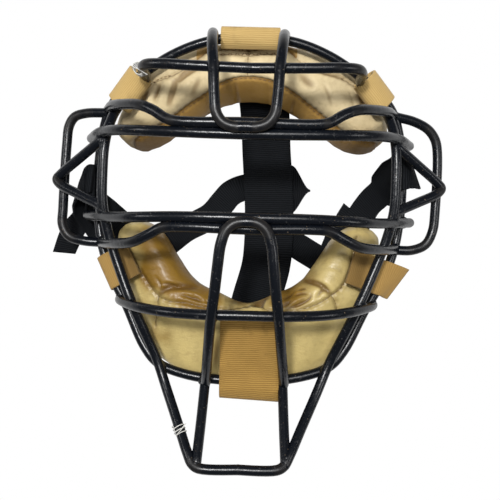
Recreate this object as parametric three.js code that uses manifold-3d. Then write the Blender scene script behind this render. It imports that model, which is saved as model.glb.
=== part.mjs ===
// Umpire's face mask, lying on its back with the cage up.
// Millimetres. +Z points out of the face, +Y to the forehead, +X to the viewer's right.
// The origin is on the surface that the mask rests on, under the middle of its box.

import * as THREE from 'three';
import { mergeVertices } from 'three/addons/utils/BufferGeometryUtils.js';
import Module from 'manifold-3d';

const wasm = await Module();
wasm.setup();

// ---------------------------------------------------------------- driving sizes

const FRONT_WIRE = 6.3;      // coated rod of the eye bars, nose loop and top loop
const FRAME_WIRE = 5.9;      // coated rod of the rim, ears, ear guards and throat
const WIRE_SIDES = 7;
const CUTS_PER_ROW = 2;      // lengths that each row of a route is cut into
const WELD = 0.35;           // how far a butt weld stands proud of its rod
const RIM_LEAN = 0.009;      // sideways lean of the rim for each millimetre up the face
const FACE_LOOP_LEAN = 0.012;
const TOP_LOOP_ASIDE = -1.6; // how far the top loop sits to the right of the middle
const NOSE_LOOP_ASIDE = 0.7;
const WEBBING = 1.8;         // thickness of the black harness webbing
const TAB_WEBBING = 2.0;     // thickness of the tan tabs
const CLEAR = 0.3;           // gap kept between pieces that touch
const CROWN_WIDTH = 35;
const SIDE_WIDTH = 25;
const CROSS_WIDTH = 19;
const TOP_TAB_WIDTH = 38;
const CORNER_TAB_WIDTH = 21;
const CHEEK_TAB_WIDTH = 24;
const CHIN_STRAP_WIDTH = 39;

// ---------------------------------------------------------------- solids

function asSolid(geometry) {
  const bare = geometry.index ? geometry.clone() : geometry;
  bare.deleteAttribute('normal');
  bare.deleteAttribute('uv');
  const merged = mergeVertices(bare, 1e-4);
  return new wasm.Manifold(new wasm.Mesh({
    numProp: 3,
    vertProperties: new Float32Array(merged.attributes.position.array),
    triVerts: new Uint32Array(merged.index.array),
  }));
}

function asGeometry(solid) {
  const mesh = solid.getMesh();
  const geometry = new THREE.BufferGeometry();
  geometry.setAttribute('position', new THREE.BufferAttribute(mesh.vertProperties, 3));
  geometry.setIndex(new THREE.BufferAttribute(mesh.triVerts, 1));
  geometry.computeVertexNormals();
  return geometry;
}

const union = (geometries) => asGeometry(geometries.map(asSolid).reduce((all, next) => all.add(next)));

const cut = (geometry, tools) => asGeometry(
  tools.map(asSolid).reduce((left, tool) => left.subtract(tool), asSolid(geometry)));

// Positive where the rings run anticlockwise as seen from further along the loft.
function sweepSign(rings) {
  const middle = Math.floor(rings.length / 2);
  const ring = rings[middle - 1];
  const ahead = rings[middle][0].clone().sub(ring[0]);
  const area = new THREE.Vector3();
  for (let k = 1; k + 1 < ring.length; k += 1) {
    area.add(ring[k].clone().sub(ring[0]).cross(ring[k + 1].clone().sub(ring[0])));
  }
  return area.dot(ahead);
}

// A closed skin over rings of points that all have the same count, with flat ends.
function loft(givenRings) {
  const rings = sweepSign(givenRings) > 0 ? givenRings : givenRings.map((ring) => [...ring].reverse());
  const count = rings[0].length;
  const position = rings.flat().flatMap((p) => [p.x, p.y, p.z]);
  const index = [];
  for (let ring = 0; ring + 1 < rings.length; ring += 1) {
    for (let k = 0; k < count; k += 1) {
      const a = ring * count + k;
      const b = ring * count + (k + 1) % count;
      index.push(a, b, b + count, a, b + count, a + count);
    }
  }
  const last = (rings.length - 1) * count;
  for (let k = 1; k + 1 < count; k += 1) {
    index.push(0, k + 1, k);
    index.push(last, last + k, last + k + 1);
  }
  const geometry = new THREE.BufferGeometry();
  geometry.setAttribute('position', new THREE.Float32BufferAttribute(position, 3));
  geometry.setIndex(index);
  geometry.computeVertexNormals();
  return geometry;
}

// ---------------------------------------------------------------- cage

// Each table holds one half of a bar: its distance from the mask's middle, its height up
// the face and its height above the surface. The other half is its mirror image.

const RIM = [
  // half, up, out
  [0.4, 132.4, 57],
  [28, 128.8, 57],
  [50, 121, 55],
  [70, 109.4, 51],
  [86, 97, 46],
  [94.6, 86.6, 42],
  [99.6, 73.6, 38],
  [102.6, 55.6, 35],
  [103.7, 34, 33.5],
  [102.8, 17, 33.5],
  [99.6, -3.5, 35],
  [92, -24.5, 38],
  [79.6, -46.6, 42],
  [66.4, -72.6, 46],
  [56.4, -83.4, 48],
  [35.4, -90.4, 50.5],
  [0, -93.8, 52],
];

const FACE_LOOP = [
  // half, up, out
  [0.4, -142, 84],
  [24, -141.8, 83.6],
  [28.5, -139.5, 82],
  [31.8, -134, 79],
  [38.2, -121, 70],
  [48.8, -99, 57],
  [56.6, -80, 53],
  [66.8, -57, 58],
  [74, -40.5, 60.5],
  [79, -29, 59],
  [87, -8.7, 57.5],
  [91.2, 5, 58.5],
  [94.2, 20, 60.5],
  [94.8, 40, 61.5],
  [94, 61, 61],
  [91, 78.6, 54.5],
  [85.6, 89.6, 48.8],
  [77.4, 97.2, 51],
  [70.8, 103.6, 54],
  [69.2, 104.4, 64],
  [68.8, 104.8, 77],
  [64.6, 105, 90],
  [54.4, 104.4, 95.5],
  [38, 103.4, 97.5],
  [0, 102.4, 98],
];

const TOP_LOOP = [
  [0, 66, 106.8],
  [7, 66, 106.8],
  [13.4, 68.5, 106.8],
  [17.2, 74, 106.8],
  [18.6, 84, 106.2],
  [19.8, 103, 103.8],
  [21.2, 117, 97],
  [22, 126.2, 84],
  [22.8, 130, 70],
  [23.2, 130.2, 58],
];

const EYE_BAR_1 = [
  [0, 69.3, 101.2],
  [44, 69.5, 100],
  [50, 71.5, 98.5],
  [57, 76, 96],
  [66, 80, 91],
  [80, 82.8, 76],
  [89.4, 84.6, 60],
  [95.6, 85, 42],
];

const EYE_BAR_2 = [
  [0, 61.6, 101.5],
  [52, 62.8, 98],
  [68, 64, 93],
  [82, 65.5, 83],
  [97, 67, 60],
  [107.8, 66, 36],
];

const EYE_BAR_3 = [
  [0, 12.6, 102],
  [41, 12.6, 99.5],
  [68, 12, 91],
  [82, 12, 77],
  [97, 13, 56],
  [109.5, 14, 34.5],
];

const EYE_BAR_4 = [
  [0, 6, 101],
  [40, 6.8, 98.5],
  [50, 6, 96.5],
  [59, 1.5, 93],
  [69, -3, 87],
  [80, -4.4, 75],
  [89.6, -4.7, 59],
  [99.4, -4.2, 38],
];

const NOSE_LOOP = [
  [0, 10.4, 107.2],
  [6.8, 9.4, 107.2],
  [11.8, 5.4, 107.2],
  [14.9, -3, 106.8],
  [16.6, -16, 105.5],
  [18.3, -32, 102.5],
  [20.2, -46, 97.8],
  [22.4, -66, 84],
  [24.4, -84, 67],
  [25.4, -93.6, 56.5],
];

const CHIN_HOOP = [
  [0, -46.2, 93],
  [25, -46.2, 92],
  [48, -45.6, 86],
  [66, -44.2, 74.5],
  [77.8, -42.8, 59.5],
  [83.4, -42.2, 48],
  [85, -42, 41],
];

const THROAT_LEG = [
  [25.4, -95, 55],
  [26.4, -118, 69],
  [27.6, -138.5, 81.5],
];

const EAR_GUARD = [
  [95.8, 62, 60.5],
  [112, 50.8, 51],
  [125.8, 40.8, 43.6],
  [128.8, 37.4, 42.2],
  [126.6, 34.2, 43.4],
  [112, 27.1, 50.5],
  [95.5, 20, 59.5],
];

// The two ear loops were bent apart: the right one slopes at its top.
const LEFT_EAR = [
  [96.4, 82.8, 41],
  [111, 82.4, 39.5],
  [118.8, 80, 38.5],
  [122.8, 74, 37.5],
  [124.2, 62, 37],
  [125.8, 18, 37],
  [125.8, 7, 37],
  [121.4, -0.5, 37],
  [112.4, -3.4, 37.5],
  [99, -4.4, 36.8],
];

const RIGHT_EAR = [
  [97, 84.8, 41.5],
  [110.5, 81.8, 40],
  [120, 77, 38.5],
  [125, 70.4, 37.5],
  [126.8, 62, 37],
  [126.2, 22, 37],
  [124.8, 8.5, 37],
  [120.2, -0.6, 37],
  [111, -4.6, 37.5],
  [98.8, -4.8, 36.6],
];

const wireSection = (diameter) => {
  const corners = [];
  for (let k = 0; k < WIRE_SIDES; k += 1) {
    const turn = (2 * Math.PI * (k + 0.5)) / WIRE_SIDES;
    corners.push(new THREE.Vector2(Math.cos(turn), Math.sin(turn)).multiplyScalar(diameter / 2));
  }
  return new THREE.Shape(corners);
};

// One half of a bar. The whole bar may sit to one side of the mask's middle by some
// millimetres, or lean to one side by a share of its height up the face.
const halfPoints = (table, side, aside = 0, lean = 0) => table.map(([half, up, out]) => (
  new THREE.Vector3(side * half + aside + lean * up, up, out)
));

// A smooth route that is cut evenly between its rows, so that close rows make a fine bend.
class RowCurve extends THREE.CatmullRomCurve3 {
  getPointAt(share, target) {
    return this.getPoint(share, target);
  }

  getTangentAt(share, target) {
    return this.getTangent(share, target);
  }
}

const rod = (points, diameter) => new THREE.ExtrudeGeometry(wireSection(diameter), {
  steps: CUTS_PER_ROW * (points.length - 1),
  bevelEnabled: false,
  extrudePath: new RowCurve(points, false, 'centripetal'),
});

// A bar that crosses the whole mask, from the end of its left half to the end of its right.
const bar = (table, diameter, aside = 0) => {
  const left = halfPoints(table, -1, aside).reverse();
  const right = halfPoints(table, 1, aside);
  return rod([...left, ...right.slice(1)], diameter);
};

// A closed hoop: one rod whose two ends meet in a butt weld, just past the mask's middle.
const hoop = (table, diameter, lean) => {
  const [, up, out] = table[0];
  const weld = new THREE.IcosahedronGeometry(diameter / 2 + WELD, 1).translate(lean * up, up, out);
  const right = halfPoints(table, 1, 0, lean);
  const left = halfPoints(table, -1, 0, lean).reverse();
  return [rod([...right, ...left.slice(1)], diameter), weld];
};

function makeCage() {
  const pieces = [
    ...hoop(RIM, FRAME_WIRE, RIM_LEAN),
    ...hoop(FACE_LOOP, FRAME_WIRE, FACE_LOOP_LEAN),
    bar(TOP_LOOP, FRONT_WIRE, TOP_LOOP_ASIDE),
    bar(EYE_BAR_1, FRONT_WIRE),
    bar(EYE_BAR_2, FRONT_WIRE),
    bar(EYE_BAR_3, FRONT_WIRE),
    bar(EYE_BAR_4, FRONT_WIRE),
    bar(NOSE_LOOP, FRONT_WIRE, NOSE_LOOP_ASIDE),
    bar(CHIN_HOOP, FRAME_WIRE),
    rod(halfPoints(LEFT_EAR, -1), FRAME_WIRE),
    rod(halfPoints(RIGHT_EAR, 1), FRAME_WIRE),
  ];
  for (const side of [-1, 1]) {
    pieces.push(rod(halfPoints(EAR_GUARD, side), FRAME_WIRE));
    pieces.push(rod(halfPoints(THROAT_LEG, side), FRAME_WIRE));
  }
  return union(pieces);
}

// ---------------------------------------------------------------- pads

// One row for each station from the middle to the end of a pad: its outer and inner edge
// seen from the front, and the heights of its front and back along both edges. A height
// below zero means that the leather is pressed flat on the surface there.

const FOREHEAD_STATIONS = [
  // outX, outY, inX, inY, frontOut, frontIn, backOut, backIn
  [0, 130.5, 0, 93.5, 50, 54, 20, 17],
  [21, 128.5, 19, 90, 50, 53, 18, 15],
  [40, 123, 32, 83.5, 48, 51, 14, 11],
  [56, 115.5, 43.5, 76, 46, 49, 9, 6],
  [69, 106, 55, 68.5, 43, 46, 3, 2],
  [80, 91.5, 66, 62.5, 40, 42, -2, -2],
  [88.5, 79, 77, 59.5, 36, 38, -2, -2],
  [92, 71, 87, 62.5, 30, 31, 2, 2],
];

const CHIN_STATIONS = [
  [0, -92, 0, -42.5, 46, 53, 24, 20],
  [20, -91.2, 17.5, -36, 46, 53, 23, 19],
  [38, -87.6, 28, -32, 46, 52, 20, 15],
  [54, -80, 34, -29, 44, 51, 10, 9],
  [66, -67.5, 39, -24.5, 43, 50, -6, 12],
  [76, -46, 43.5, -18, 41, 49, -6, 11],
  [83, -25, 49.5, -9, 39, 47, -6, 11],
  [88, -8, 57, 2.5, 36, 44, 5, 8],
  [89.5, 3, 66.5, 10.5, 34, 40, 5.2, 7],
  [86, 10, 76, 13, 28, 32, 9, 10],
];

// Section of a pad: how far across from its outer edge, and how high from back to front.
const FOREHEAD_SECTION = [
  // across, level
  [0, 0.25],
  [0, 0.85],
  [0.14, 1],
  [0.42, 1.05],
  [0.64, 1],
  [0.86, 0.55],
  [1, 0.12],
  [0.92, 0],
  [0.5, 0],
  [0.08, 0],
];

const CHIN_SECTION = [
  [0, 0.25],
  [0, 0.8],
  [0.12, 0.98],
  [0.38, 1.02],
  [0.62, 1.06],
  [0.86, 0.95],
  [1, 0.58],
  [0.98, 0.2],
  [0.86, 0],
  [0.44, 0],
  [0.06, 0],
];

const PAD_STATIONS_PER_SIDE = 13;

const mix = (a, b, share) => a + (b - a) * share;

// Cuts every corner once, which turns the section's outline into a round one.
function roundOff(corners) {
  return corners.flatMap(([across, level], k) => {
    const [nextAcross, nextLevel] = corners[(k + 1) % corners.length];
    return [0.25, 0.75].map((share) => [mix(across, nextAcross, share), mix(level, nextLevel, share)]);
  });
}

// A smooth run of stations between the rows of the table, from the left end to the right.
function spreadStations(table) {
  const half = (side) => table.map(([outX, outY, inX, inY, ...heights]) => (
    [side * outX, outY, side * inX, inY, ...heights]
  ));
  const rows = [...half(-1).reverse(), ...half(1).slice(1)];
  const columns = rows[0].map((_, column) => new THREE.CatmullRomCurve3(
    rows.map((row, k) => new THREE.Vector3(k, row[column], 0))));
  const stations = [];
  for (let k = 0; k <= 2 * PAD_STATIONS_PER_SIDE; k += 1) {
    stations.push(columns.map((curve) => curve.getPoint(k / (2 * PAD_STATIONS_PER_SIDE)).y));
  }
  return stations;
}

function padGeometry(table, section) {
  const outline = roundOff(section);
  return loft(spreadStations(table).map(([outX, outY, inX, inY, frontOut, frontIn, backOut, backIn]) => (
    outline.map(([across, level]) => {
      const back = mix(backOut, backIn, across);
      const front = mix(frontOut, frontIn, across);
      const height = Math.max(0, mix(back, front, level));
      return new THREE.Vector3(mix(outX, inX, across), mix(outY, inY, across), height);
    })
  )));
}

// ---------------------------------------------------------------- tabs

// A band of webbing seen from its edge: its middle line, widened to its thickness.
function bandShape(line, thickness) {
  const middle = new THREE.SplineCurve(line.map(([along, out]) => new THREE.Vector2(along, out)));
  const points = middle.getPoints(CUTS_PER_ROW * line.length);
  const sides = [-1, 1].map((side) => points.map((point, k) => {
    const next = points[Math.min(k + 1, points.length - 1)];
    const ahead = next.clone().sub(points[Math.max(k - 1, 0)]).normalize();
    const offset = side * thickness / 2;
    return new THREE.Vector2(point.x - ahead.y * offset, point.y + ahead.x * offset);
  }));
  return new THREE.Shape([...sides[0], ...sides[1].reverse()]);
}

// A tab that wraps the rim: x of its shape points inwards to the pad, y out of the face.
// It is set at a place on the rim, with its inward side turned to the given heading and
// its width leant to the rim's slope. Spare is the room that it leaves round itself.
function tabGeometry([, line, width, place, heading, lean], spare = 0) {
  const depth = width + 2 * spare;
  const edge = bandShape(line, TAB_WEBBING + 2 * spare);
  const band = new THREE.ExtrudeGeometry(edge, { depth, bevelEnabled: false });
  band.translate(0, 0, -depth / 2);
  band.rotateX(Math.PI / 2 + THREE.MathUtils.degToRad(lean));
  band.rotateZ(THREE.MathUtils.degToRad(heading));
  band.translate(...place);
  return band;
}

// Rows: inwards from the rim, out from the rim.
const TOP_TAB_LINE = [
  [6, 1.8], [4.4, 4.8], [0, 5.6], [-4.2, 3.4], [-5.2, -1], [-3.4, -4.8], [1, -5.8], [5.8, -4.6],
];
const CORNER_TAB_LINE = [
  [12, 2.8], [11.4, 7.2], [6.8, 9.4], [0, 7], [-4, 3.6],
  [-5.4, -0.5], [-3.6, -4.5], [1, -5.6], [6, -4.8], [9.8, -3.4],
];
const LEFT_CHEEK_TAB_LINE = [
  [24, 12.5], [18, 9.8], [12, 7.4], [6, 5.4], [0, 4.6], [-4.2, 2.2], [-4.4, -2.2], [-1, -4.8], [4, -5.4],
];
const RIGHT_CHEEK_TAB_LINE = [
  [24, 12.5], [18, 9.8], [12, 7.4], [6, 5.4], [0, 4.6], [-5, 2.4], [-11, -2.5],
];
const CHIN_STRAP_LINE = [
  [46, 10.5], [38, 9.5], [28, 7.5], [16, 5.4], [6, 5], [0, 5],
  [-5, 4.2], [-9.4, 1], [-6, -3.6], [0, -5], [4, -5.2],
];

const TABS = [
  // name, middle line, width, place, heading of its inward side, lean along its width
  ['top_tab', TOP_TAB_LINE, TOP_TAB_WIDTH, [-1.2, 132, 57], -90, 0],
  ['upper_left_tab', CORNER_TAB_LINE, CORNER_TAB_WIDTH, [-81.7, 100.9, 47.8], -46.6, 14.4],
  ['upper_right_tab', CORNER_TAB_LINE, CORNER_TAB_WIDTH, [83.2, 100.8, 47.7], -133.4, -14.4],
  ['left_cheek_tab', LEFT_CHEEK_TAB_LINE, CHEEK_TAB_WIDTH, [-92.8, -23.4, 38], 25, -8.2],
  ['right_cheek_tab', RIGHT_CHEEK_TAB_LINE, CHEEK_TAB_WIDTH, [92.4, -23.4, 38], 155, 8.2],
  ['chin_strap', CHIN_STRAP_LINE, CHIN_STRAP_WIDTH, [1.5, -93.8, 52], 90, 0],
];

// ---------------------------------------------------------------- harness

// Webbing laid along a route. A row is a point of its middle line, its width and the turn
// of that width in plan.
function strapGeometry(route, spare = 0) {
  const points = route.map(([x, y, z]) => new THREE.Vector3(x, y, z));
  const path = new THREE.CatmullRomCurve3(points, false, 'centripetal');
  const widthsAndTurns = route.map((row) => new THREE.Vector3(row[3], row[4], 0));
  const widths = new THREE.CatmullRomCurve3(widthsAndTurns, false, 'centripetal');
  const steps = CUTS_PER_ROW * (route.length - 1);
  const rings = [];
  for (let k = 0; k <= steps; k += 1) {
    const share = k / steps;
    const ahead = path.getTangent(share);
    const past = { 0: -spare, [steps]: spare }[k] ?? 0;
    const centre = path.getPoint(share).addScaledVector(ahead, past);
    const { x: width, y: turn } = widths.getPoint(share);
    const halfWidth = width / 2 + spare;
    const halfThickness = WEBBING / 2 + spare;
    const angle = THREE.MathUtils.degToRad(turn);
    const across = new THREE.Vector3(Math.cos(angle), Math.sin(angle), 0);
    const through = new THREE.Vector3().crossVectors(across, ahead).normalize();
    rings.push([[-1, -1], [1, -1], [1, 1], [-1, 1]].map(([u, v]) => (
      centre.clone().addScaledVector(across, u * halfWidth).addScaledVector(through, v * halfThickness)
    )));
  }
  return loft(rings);
}

const LAID = WEBBING / 2 + CLEAR;            // middle of a strap that lies on the surface
const LAID_TWICE = LAID + WEBBING + CLEAR;   // middle of a strap that lies on another one
const LAID_THRICE = LAID_TWICE + WEBBING + CLEAR;

const CROWN_ROUTE = [
  // x, y, z, width, turn of the width
  [2, -62, LAID_TWICE, CROWN_WIDTH, -14],
  [6, -44, LAID_TWICE, CROWN_WIDTH, -14],
  [12.5, -19, LAID_TWICE, CROWN_WIDTH, -10],
  [14, -2, LAID_THRICE, CROWN_WIDTH, 0],
  [14, 20, LAID_THRICE, CROWN_WIDTH, 0],
  [12.5, 45, LAID_THRICE, CROWN_WIDTH, 3],
  [11, 64, LAID, CROWN_WIDTH, 4],
  [10.2, 78, LAID + 2, CROWN_WIDTH, 4],
  [9, 93, 8, CROWN_WIDTH, 4],
  [7.5, 104, 12.6, CROWN_WIDTH, 4],
  [6, 117, 14.8, CROWN_WIDTH, 4],
];

const CROSS_ROUTE_LEFT = [
  [-61, -5.8, LAID, CROSS_WIDTH, -45],
  [-56, -1.5, LAID, CROSS_WIDTH, -48],
  [-46, 6.5, LAID, CROSS_WIDTH, -56],
  [-36, 11.8, LAID, CROSS_WIDTH, -56],
  [-27, 17.6, LAID, CROSS_WIDTH, -46],
  [-20, 26, LAID, CROSS_WIDTH, -40],
  [-13.5, 33.4, LAID, CROSS_WIDTH, -52],
  [-3, 37.8, LAID, CROSS_WIDTH, -76],
  [14, 38, LAID, 27, -88],
  [29.5, 37, LAID, 35, -90],
  [43.4, 36.4, LAID, 1.5, -90],
];

const CROSS_ROUTE_RIGHT = [
  [19, 27, LAID + WEBBING - 0.1, CROSS_WIDTH, 0],
  [20, 13, LAID + WEBBING - 0.1, CROSS_WIDTH, 18],
  [27, 1.5, LAID + 1, CROSS_WIDTH, 45],
  [38, -5.5, LAID, CROSS_WIDTH, 58],
  [50, -12.5, LAID, CROSS_WIDTH, 58],
  [61, -19, LAID, CROSS_WIDTH, 57],
];

const LEFT_SIDE_ROUTE = [
  // x, y, z, width, turn of the width
  [-9, -69, LAID, SIDE_WIDTH, 52],
  [-22, -59.5, LAID, SIDE_WIDTH, 52],
  [-38, -47, LAID, SIDE_WIDTH, 50],
  [-53, -34, LAID_TWICE, SIDE_WIDTH, 48],
  [-75, -11.5, LAID_TWICE, SIDE_WIDTH, 46],
  [-86, -1.5, LAID, SIDE_WIDTH + 2, 48],
  [-93, 6, 3.6, SIDE_WIDTH + 3, 52],
  [-96.8, 16, 11, SIDE_WIDTH, 64],
  [-97.6, 27, 24, SIDE_WIDTH, 80],
  [-98, 32, 33, SIDE_WIDTH, 88],
  [-100.4, 34, 38, SIDE_WIDTH, 90],
  [-104.2, 34.5, 40.3, SIDE_WIDTH, 90],
  [-108.2, 34, 38, SIDE_WIDTH, 90],
  [-111.4, 32.5, 33.5, SIDE_WIDTH, 92],
  [-115, 27, 24, SIDE_WIDTH, 96],
  [-121, 14, 11, SIDE_WIDTH - 2, 108],
  [-129, 0, 4, SIDE_WIDTH - 5, 150],
  [-133.4, -12.6, LAID, SIDE_WIDTH - 7, 172],
];

const RIGHT_SIDE_ROUTE = [
  [9, -69, LAID, SIDE_WIDTH, -52],
  [22, -59.5, LAID, SIDE_WIDTH, -52],
  [38, -47, LAID, SIDE_WIDTH, -50],
  [52, -33, LAID_TWICE, SIDE_WIDTH, -46],
  [64, -15, LAID_TWICE, SIDE_WIDTH, -32],
  [69, -3, LAID_TWICE, SIDE_WIDTH, -26],
  [74, 9, LAID, SIDE_WIDTH, -26],
  [78.5, 18.6, LAID + 0.6, SIDE_WIDTH - 1, -32],
  [83.4, 25.5, 4, SIDE_WIDTH - 2, -42],
  [90, 32.4, 10.5, SIDE_WIDTH - 2, -52],
  [95.2, 39.6, 21, SIDE_WIDTH - 1, -66],
  [98, 45.6, 33, SIDE_WIDTH, -82],
  [99.4, 47.6, 39, SIDE_WIDTH, -88],
  [103.6, 48.2, 41.4, SIDE_WIDTH, -88],
  [108.2, 48, 39, SIDE_WIDTH - 1, -84],
  [111.2, 47.2, 34, SIDE_WIDTH - 1, -80],
  [114.4, 46.5, 27, SIDE_WIDTH - 1, -76],
];

// ---------------------------------------------------------------- assembly

const coating = new THREE.MeshStandardMaterial({ color: 0x1d2023, roughness: 0.42, metalness: 0.1 });
const creamLeather = new THREE.MeshStandardMaterial({ color: 0xd9c8a0, roughness: 0.55, metalness: 0 });
const agedLeather = new THREE.MeshStandardMaterial({ color: 0xcbb27a, roughness: 0.4, metalness: 0 });
const tanWebbing = new THREE.MeshStandardMaterial({ color: 0xc79a5b, roughness: 0.85, metalness: 0 });
const blackWebbing = new THREE.MeshStandardMaterial({ color: 0x101113, roughness: 0.8, metalness: 0 });

const mask = new THREE.Group();

function place(name, geometry, material) {
  const mesh = new THREE.Mesh(geometry, material);
  mesh.name = name;
  mask.add(mesh);
}

// A pad is dented where a tab or a strap presses on it.
const crossRoutes = [CROSS_ROUTE_LEFT, CROSS_ROUTE_RIGHT];
const routesOnPads = [...crossRoutes, LEFT_SIDE_ROUTE, RIGHT_SIDE_ROUTE];
const rooms = [
  ...TABS.map((tab) => tabGeometry(tab, CLEAR)),
  ...routesOnPads.map((route) => strapGeometry(route, CLEAR)),
];

place('cage', makeCage(), coating);
place('forehead_pad', cut(padGeometry(FOREHEAD_STATIONS, FOREHEAD_SECTION), rooms), creamLeather);
place('chin_pad', cut(padGeometry(CHIN_STATIONS, CHIN_SECTION), rooms), agedLeather);
for (const tab of TABS) {
  place(tab[0], tabGeometry(tab), tanWebbing);
}
place('crown_strap', strapGeometry(CROWN_ROUTE), blackWebbing);
place('cross_strap', union(crossRoutes.map((route) => strapGeometry(route))), blackWebbing);
place('left_side_strap', strapGeometry(LEFT_SIDE_ROUTE), blackWebbing);
place('right_side_strap', strapGeometry(RIGHT_SIDE_ROUTE), blackWebbing);

const box = new THREE.Box3().setFromObject(mask);
mask.position.set(-(box.min.x + box.max.x) / 2, -(box.min.y + box.max.y) / 2, -box.min.z);

export default mask;
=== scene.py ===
from math import cos, pi, radians, sin

import bmesh
import bpy
import numpy as np
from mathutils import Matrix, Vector
from mathutils.bvhtree import BVHTree


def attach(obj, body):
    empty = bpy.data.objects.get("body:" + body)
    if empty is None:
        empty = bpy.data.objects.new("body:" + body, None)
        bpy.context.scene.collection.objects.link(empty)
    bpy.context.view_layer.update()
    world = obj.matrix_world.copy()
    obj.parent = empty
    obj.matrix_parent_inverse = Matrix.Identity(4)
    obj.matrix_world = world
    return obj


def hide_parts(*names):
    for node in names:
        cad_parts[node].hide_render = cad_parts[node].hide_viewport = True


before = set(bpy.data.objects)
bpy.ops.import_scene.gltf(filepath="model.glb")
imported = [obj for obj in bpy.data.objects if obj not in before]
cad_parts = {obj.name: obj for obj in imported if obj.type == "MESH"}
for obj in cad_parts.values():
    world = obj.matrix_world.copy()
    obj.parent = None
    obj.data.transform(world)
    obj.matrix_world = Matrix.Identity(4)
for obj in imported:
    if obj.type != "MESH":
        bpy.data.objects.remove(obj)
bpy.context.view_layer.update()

scene = bpy.context.scene

# ---------------------------------------------------------------- table, lights and camera
# The mask lies on its back on a plain white table. One small lamp stands above its brow, and
# three wide soft ones fill in from above and both sides. The camera looks straight down.

TABLE_HALF = 4000.0    # half the side of the square table, in millimetres
CAMERA_PLACE = (0.0178, 0.0035, 0.552)
CAMERA_LENS = 54.72
CAMERA_ROLL = radians(1.4)
CAMERA_SHIFT = (-0.0325, -0.020)
TABLE_GREY = (0.7, 0.7, 0.7, 1.0)
WHITE = (1.0, 1.0, 1.0, 1.0)
WORLD_LIGHT = 0.14


class Socket:
    """A shader value. An operator on it adds the Math node of that name and gives its result."""

    def __init__(self, finish, socket):
        self.finish = finish
        self.socket = socket

    def math(self, operation, *values):
        inputs = dict(enumerate((self,) + values))
        return self.finish.node("ShaderNodeMath", {"operation": operation}, inputs)

    def __add__(self, other):
        return self.math("ADD", other)

    __radd__ = __add__

    def __sub__(self, other):
        return self.math("SUBTRACT", other)

    def __rsub__(self, other):
        return self.math("MULTIPLY", -1.0) + other

    def __mul__(self, other):
        return self.math("MULTIPLY", other)

    __rmul__ = __mul__

    def between(self, low, high):
        """0 at low, 1 at high, and a smooth step from one to the other."""
        settings = {"interpolation_type": "SMOOTHSTEP"}
        return self.finish.node("ShaderNodeMapRange", settings, {0: self, 1: low, 2: high})


class Finish:
    """One material: a Principled shader and the nodes that feed it."""

    def __init__(self, name, **constants):
        self.material = bpy.data.materials.new(name)
        self.material.use_nodes = True
        self.tree = self.material.node_tree
        self.tree.nodes.clear()
        self.shader = self.tree.nodes.new("ShaderNodeBsdfPrincipled")
        output = self.tree.nodes.new("ShaderNodeOutputMaterial")
        self.tree.links.new(self.shader.outputs[0], output.inputs[0])
        self.give(**constants)

    def feed(self, socket, value):
        if isinstance(value, Socket):
            self.tree.links.new(value.socket, socket)
        else:
            socket.default_value = value

    def give(self, **values):
        """Feeds the Principled shader's sockets, named with a _ for each space."""
        for socket, value in values.items():
            self.feed(self.shader.inputs[socket.replace("_", " ")], value)

    def node(self, kind, settings, inputs, output=0):
        """A node of that kind: its settings are set first, then its inputs are fed."""
        node = self.tree.nodes.new(kind)
        for key, value in settings.items():
            setattr(node, key, value)
        for key, value in inputs.items():
            self.feed(node.inputs[key], value)
        return Socket(self, node.outputs[output])

    def place(self):
        """Where a point of the piece is, in metres."""
        return self.node("ShaderNodeTexCoord", {}, {}, "Object")

    def attribute(self, name):
        """A number that the piece's mesh carries at each point."""
        return self.node("ShaderNodeAttribute", {"attribute_name": name}, {}, "Fac")

    def noise(self, where, scale, detail=2.0, rough=0.5, warp=0.0):
        """Cloudy noise from 0 to 1, about 0.5."""
        inputs = {"Vector": where, "Scale": scale, "Detail": detail, "Roughness": rough}
        return self.node("ShaderNodeTexNoise", {}, {**inputs, "Distortion": warp}, "Fac")

    def stretched(self, where, scale):
        """A place with each of its axes scaled by its own number."""
        return self.node("ShaderNodeVectorMath", {"operation": "MULTIPLY"}, {0: where, 1: scale})

    def blend(self, share, colour, other):
        """The first colour where share is 0, the other where it is 1."""
        first, second = [(*c, 1.0) if isinstance(c, tuple) else c for c in (colour, other)]
        return self.node("ShaderNodeMix", {"data_type": "RGBA"}, {0: share, 6: first, 7: second}, 2)

    def bump(self, height, depth, strength=1.0):
        """Normal of a surface that stands `depth` metres proud where height is 1."""
        inputs = {"Height": height, "Distance": depth, "Strength": strength}
        return self.node("ShaderNodeBump", {}, inputs)

    def mixed_with(self, shader, share):
        """Shows another shader in place of the Principled one where share is 1."""
        output = self.tree.nodes["Material Output"]
        both = self.node("ShaderNodeMixShader", {}, {0: share, 2: shader})
        self.tree.links.new(self.shader.outputs[0], both.socket.node.inputs[1])
        self.tree.links.new(both.socket, output.inputs[0])

    def wear(self, piece):
        piece.data.materials.clear()
        piece.data.materials.append(self.material)
        return piece


def grid_faces(rows, columns, closed=True, first=0):
    """Corner numbers of the four-sided faces of a grid of points, closed round its columns."""
    row = np.arange(rows - 1)[:, None]
    column = np.arange(columns if closed else columns - 1)[None, :]
    after = (column + 1) % columns
    here, ahead = row * columns, (row + 1) * columns
    corners = np.broadcast_arrays(here + column, here + after, ahead + after, ahead + column)
    return first + np.stack(corners, axis=-1).reshape(-1, 4)


def write(piece, key, values):
    """Gives each point of a piece's mesh a number, which its finish reads."""
    layer = piece.data.attributes.new(key, "FLOAT", "POINT")
    layer.data.foreach_set("value", np.asarray(values, np.float32))


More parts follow.
